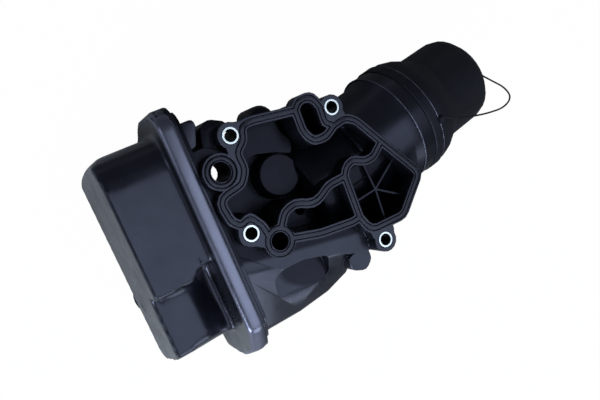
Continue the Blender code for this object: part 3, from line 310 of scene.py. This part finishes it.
def softening_group(name, centre, half_size, passes):
    """Eases the edges inside an ellipsoid, at full strength up to 0.7 of the way to its surface."""
    group, start, end = new_group(name)
    place = group.nodes.new("GeometryNodeInputPosition")
    away = group.nodes.new("ShaderNodeVectorMath")
    away.operation = "SUBTRACT"
    away.inputs[1].default_value = Vector(centre) * MM
    shape = group.nodes.new("ShaderNodeVectorMath")
    shape.operation = "DIVIDE"
    shape.inputs[1].default_value = Vector(half_size) * MM
    reach = group.nodes.new("ShaderNodeVectorMath")
    reach.operation = "LENGTH"
    share = group.nodes.new("ShaderNodeMapRange")
    for socket, value in (("From Min", 0.7), ("From Max", 1.0), ("To Min", 1.0), ("To Max", 0.0)):
        share.inputs[socket].default_value = value
    blur = group.nodes.new("GeometryNodeBlurAttribute")
    blur.data_type = "FLOAT_VECTOR"
    blur.inputs["Iterations"].default_value = passes
    rough_points = next(socket for socket in blur.inputs if socket.type == "VECTOR")
    eased_points = next(socket for socket in blur.outputs if socket.type == "VECTOR")
    moved = group.nodes.new("GeometryNodeSetPosition")
    group.links.new(place.outputs[0], away.inputs[0])
    group.links.new(away.outputs[0], shape.inputs[0])
    group.links.new(shape.outputs[0], reach.inputs[0])
    group.links.new(reach.outputs["Value"], share.inputs["Value"])
    group.links.new(share.outputs["Result"], blur.inputs["Weight"])
    group.links.new(place.outputs[0], rough_points)
    group.links.new(eased_points, moved.inputs["Position"])
    group.links.new(start.outputs[0], moved.inputs["Geometry"])
    group.links.new(moved.outputs["Geometry"], end.inputs[0])
    return group


SMOOTHING = smoothing_group("smooth_by_angle", 33.0)
SOFT_SCOOP = softening_group("soft_scoop", (-138.0, -22.0, -36.0), (17.0, 52.0, 26.0), 45)
SEAL_ROUND = 0.9


def round_seal(node):
    bead = node.modifiers.new("bead", "BEVEL")
    bead.width = SEAL_ROUND * MM
    bead.segments = 3
    bead.limit_method = "ANGLE"
    bead.angle_limit = math.radians(60)


def soften_cover(node):
    """Larger rounds on the edges of the cover, and the largest in its scoop."""
    soft = node.modifiers.new("soft", "REMESH")
    soft.mode = "VOXEL"
    soft.voxel_size = 1.5 * MM
    ease = node.modifiers.new("ease", "SMOOTH")
    ease.factor = 0.5
    ease.iterations = 9
    scoop = node.modifiers.new("scoop", "NODES")
    scoop.node_group = SOFT_SCOOP


for name, node in NODES.items():
    weld = node.modifiers.new("weld", "WELD")
    weld.merge_threshold = 1e-6
    if name in ("flange_gasket", "ring_port_seal"):
        round_seal(node)
    if name == "separator_cover":
        soften_cover(node)
    smooth = node.modifiers.new("smooth", "NODES")
    smooth.node_group = SMOOTHING


# Cord of the cap: the same points as its solid

TETHER_R = 0.75
TETHER_ROUTE = [
    (105.3, -9.8, -7.2), (110, -12.6, -7.3), (117, -17.0, -8.6), (127, -22.0, -11.2), (145.7, -30, -17),
    (162.4, -36.2, -23), (178.8, -41.1, -28), (190.7, -41.8, -31), (197.4, -39.5, -33), (199.7, -35.4, -35),
    (199.6, -28.8, -38), (196.2, -20.5, -42), (193.6, -12.5, -47), (192.4, -5.0, -53), (190.6, -0.8, -57.2),
    (187.3, 0, -58)]


def smooth_route(route, parts):
    """Points of a smooth curve through a route."""
    route = [Vector(point) for point in route]
    points = []
    for i in range(len(route) - 1):
        p0 = route[max(i - 1, 0)]
        p1 = route[i]
        p2 = route[i + 1]
        p3 = route[min(i + 2, len(route) - 1)]
        for step in range(parts):
            t = step / parts
            points.append(0.5 * (2 * p1 + (p2 - p0) * t + (2 * p0 - 5 * p1 + 4 * p2 - p3) * t ** 2
                                 + (3 * p1 - p0 - 3 * p2 + p3) * t ** 3))
    points.append(route[-1])
    return points


def make_tether():
    points = smooth_route(TETHER_ROUTE, 4)
    curve = bpy.data.curves.new("tether_cord", "CURVE")
    curve.dimensions = "3D"
    curve.bevel_depth = TETHER_R * MM
    curve.bevel_resolution = 4
    curve.use_fill_caps = True
    spline = curve.splines.new("POLY")
    spline.points.add(len(points) - 1)
    for target, point in zip(spline.points, points):
        target.co = (*(point * MM), 1.0)
    cord = bpy.data.objects.new("tether_cord", curve)
    curve.materials.append(MATTE)
    SCENE.collection.objects.link(cord)
    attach(cord, "cap")
    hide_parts("cap_tether")


make_tether()


# Fine moulded pieces, too small for the solids

def add_piece(name, bm, look=GLOSS, body="housing"):
    bmesh.ops.recalc_face_normals(bm, faces=bm.faces)
    for face in bm.faces:
        face.smooth = len(face.verts) == 4
    mesh = bpy.data.meshes.new(name)
    bm.to_mesh(mesh)
    bm.free()
    mesh.materials.append(look)
    made = bpy.data.objects.new(name, mesh)
    SCENE.collection.objects.link(made)
    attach(made, body)


def join_rings(bm, one, two):
    """Faces between two rings with as many points."""
    count = len(one)
    for k in range(count):
        bm.faces.new((one[k], one[(k + 1) % count], two[(k + 1) % count], two[k]))


# The rim is drawn in the separator's own frame. Its route gives (y, z, corner radius) and its section
# gives (x, height over the rim's edge), in mm.
SEPARATOR_TURN = Matrix.Rotation(math.radians(-10.0), 4, "Z")
RIM_MIDDLE = Vector((0.0, -60.0))
RIM_ROUTE = [(94.9, -62.0, 0), (94.9, -5.0, 16.0), (-66.0, -5.0, 10.0), (-86.0, -22.0, 12.0),
             (-97.4, -55.0, 25.0), (-100.6, -96.0, 0)]
RIM_SECTION = [(-109.35, -3.2), (-109.25, -1.8), (-108.7, -0.7), (-107.6, 0.1), (-106.0, 0.6), (-104.0, 0.9),
               (-102.0, 1.0), (-100.0, 0.8), (-98.3, 0.25), (-97.0, -0.8), (-96.2, -2.4), (-95.9, -4.8),
               (-97.0, -5.2), (-108.4, -3.6)]
CORNER_STEPS = 8


def rounded_route(corners):
    """Points of a line with rounded corners."""
    points = []
    for index, (x, y, radius) in enumerate(corners):
        here = Vector((x, y))
        if not radius:
            points.append(here)
            continue
        before = (Vector(corners[index - 1][:2]) - here).normalized()
        after = (Vector(corners[index + 1][:2]) - here).normalized()
        angle = before.angle(after)
        centre = here + (before + after).normalized() * radius / math.sin(angle / 2)
        start = here + before * radius / math.tan(angle / 2) - centre
        turn = start.angle_signed(here + after * radius / math.tan(angle / 2) - centre)
        for step in range(CORNER_STEPS + 1):
            swing = -turn * step / CORNER_STEPS
            points.append(centre + Vector((start.x * math.cos(swing) - start.y * math.sin(swing),
                                           start.x * math.sin(swing) + start.y * math.cos(swing))))
    return points


def make_rim_bead():
    """The round front of the welded rim, over the cover's flange and the housing's."""
    route = rounded_route(RIM_ROUTE)
    bm = bmesh.new()
    rings = []
    for index, point in enumerate(route):
        along = (route[min(index + 1, len(route) - 1)] - route[max(index - 1, 0)]).normalized()
        out = Vector((-along.y, along.x))
        if out.dot(point - RIM_MIDDLE) < 0:
            out = -out
        spots = [Vector((x, *(point + out * height))) for x, height in RIM_SECTION]
        rings.append([bm.verts.new(SEPARATOR_TURN @ (spot * MM)) for spot in spots])
    for one, two in zip(rings, rings[1:]):
        join_rings(bm, one, two)
    bm.faces.new(rings[0])
    bm.faces.new(rings[-1])
    add_piece("rim_bead", bm, BEAD_HIGHLIGHT)


def make_edge_ring(name, x, radius, thick, body):
    """The rounded lip along a round edge about the filter's axis, which catches the light, in the plastic
    with the painted highlight.
    """
    around, section = 128, 10
    bm = bmesh.new()
    rings = []
    for turn in range(around):
        angle = 2 * math.pi * turn / around
        ring = []
        for step in range(section):
            lean = 2 * math.pi * step / section
            out = radius + thick * math.cos(lean)
            spot = Vector((x + thick * math.sin(lean), out * math.sin(angle),
                           out * math.cos(angle) + FILTER_AXIS_Z))
            ring.append(bm.verts.new(spot * MM))
        rings.append(ring)
    for one, two in zip(rings, rings[1:] + rings[:1]):
        join_rings(bm, one, two)
    add_piece(name, bm, BEAD_HIGHLIGHT, body)


def make_mould_line():
    """The faint parting line along the bowl."""
    middle_x, length, width, proud = 34.0, 50.0, 0.7, 0.05
    angle = math.radians(-13.0)
    radius = BOWL_R + proud
    bm = bmesh.new()
    shift = Matrix.Translation(
        Vector((middle_x, radius * math.sin(angle), radius * math.cos(angle) + FILTER_AXIS_Z)) * MM)
    size = Matrix.Diagonal((length * MM, width * MM, width * MM, 1.0))
    bmesh.ops.create_cube(bm, size=1.0, matrix=shift @ Matrix.Rotation(-angle, 4, "X") @ size)
    add_piece("mould_line", bm)


def make_pin(name, x, y, low, high, radius):
    bm = bmesh.new()
    shift = Matrix.Translation(Vector((x, y, (low + high) / 2)) * MM)
    bmesh.ops.create_cone(bm, cap_ends=True, segments=20, radius1=radius * MM, radius2=radius * 0.8 * MM,
                          depth=(high - low) * MM, matrix=shift)
    add_piece(name, bm)


make_rim_bead()
make_mould_line()
make_edge_ring("collar_lip", 80.6, 49.3, 0.6, "housing")
make_edge_ring("cap_lip", 101.6, 49.9, 0.55, "cap")
make_pin("pin_ring_port", -66.9, 46.3, -3.0, -0.3, 1.3)
make_pin("pin_ear", -5.0, -50.0, -13.0, -9.0, 1.3)


# Floor, light and world

COOL = (0.80, 0.89, 1.0)


def make_floor():
    """White for the camera. What the plastic reflects is grey, with a painted reflection: paler under the
    separator and darker under the bowl.
    """
    half = 6.0
    low = BACK_Z * MM
    corners = [(-half, -half, low), (half, -half, low), (half, half, low), (-half, half, low)]
    mesh = bpy.data.meshes.new("floor")
    mesh.from_pydata(corners, [], [(0, 1, 2, 3)])
    floor = bpy.data.objects.new("floor", mesh)
    SCENE.collection.objects.link(floor)
    made = new_shader("floor")
    made.surface.inputs["Roughness"].default_value = 0.9
    seen = made.node("ShaderNodeLightPath").outputs["Is Camera Ray"]
    across = made.split(made.place())[0]
    grey = made.node("ShaderNodeMix")
    grey.inputs["B"].default_value = 0.86
    made.link(seen, grey.inputs["Factor"])
    # Painted reflection: the grey the plastic sees goes from 0.60 on the separator's side to 0.14 under the
    # bowl.
    made.link(made.ramp(across, -0.16, 0.0, 0.60, 0.14), grey.inputs["A"])
    made.link(grey.outputs["Result"], made.surface.inputs["Base Color"])
    share = made.node("ShaderNodeMath", operation="MULTIPLY")
    share.inputs[1].default_value = 0.985
    made.link(seen, share.inputs[0])
    white = made.node("ShaderNodeEmission")
    blend = made.node("ShaderNodeMixShader")
    made.link(share.outputs[0], blend.inputs[0])
    made.link(made.surface.outputs[0], blend.inputs[1])
    made.link(white.outputs[0], blend.inputs[2])
    made.link(blend.outputs[0], made.tree.nodes["Material Output"].inputs["Surface"])
    mesh.materials.append(made.material)


def make_world():
    """Even white for the camera; for reflections, a faint horizon under a dim ceiling."""
    world = bpy.data.worlds.new("studio")
    SCENE.world = world
    made = Shader(world, "Background")
    seen = made.node("ShaderNodeLightPath").outputs["Is Camera Ray"]
    height = made.split(made.node("ShaderNodeTexCoord").outputs["Generated"])[2]
    level = made.node("ShaderNodeMix")
    level.inputs["B"].default_value = 1.0
    made.link(seen, level.inputs["Factor"])
    made.link(made.ramp(height, 0.0, 0.30, 0.42, 0.16, "SMOOTHSTEP"), level.inputs["A"])
    made.link(level.outputs["Result"], made.surface.inputs["Strength"])
    made.link(made.mix(seen, (0.84, 0.91, 1.0), (1.0, 1.0, 1.0)), made.surface.inputs["Color"])


def make_light(name, place, target, size, power):
    data = bpy.data.lights.new(name, "AREA")
    data.shape = "RECTANGLE"
    data.size, data.size_y = size
    data.energy = power
    data.color = COOL
    light = bpy.data.objects.new(name, data)
    away = (Vector(place) - Vector(target)).normalized()
    light.matrix_world = Matrix.Translation(place) @ away.to_track_quat("Z", "Y").to_matrix().to_4x4()
    SCENE.collection.objects.link(light)


make_floor()
make_world()
make_light("over", (0.13, -0.42, 0.90), (0.13, -0.42, 0.0), (1.05, 1.05), 6.8)
make_light("front", (-0.12, -0.68, 0.20), (-0.09, -0.05, -0.04), (0.40, 0.34), 1.5)
make_light("key", (-0.75, 0.42, 0.50), (-0.02, 0, -0.05), (0.30, 0.30), 1.0)
make_light("side", (-0.9, -0.5, 0.30), (-0.05, 0, -0.05), (0.5, 0.4), 9.0)
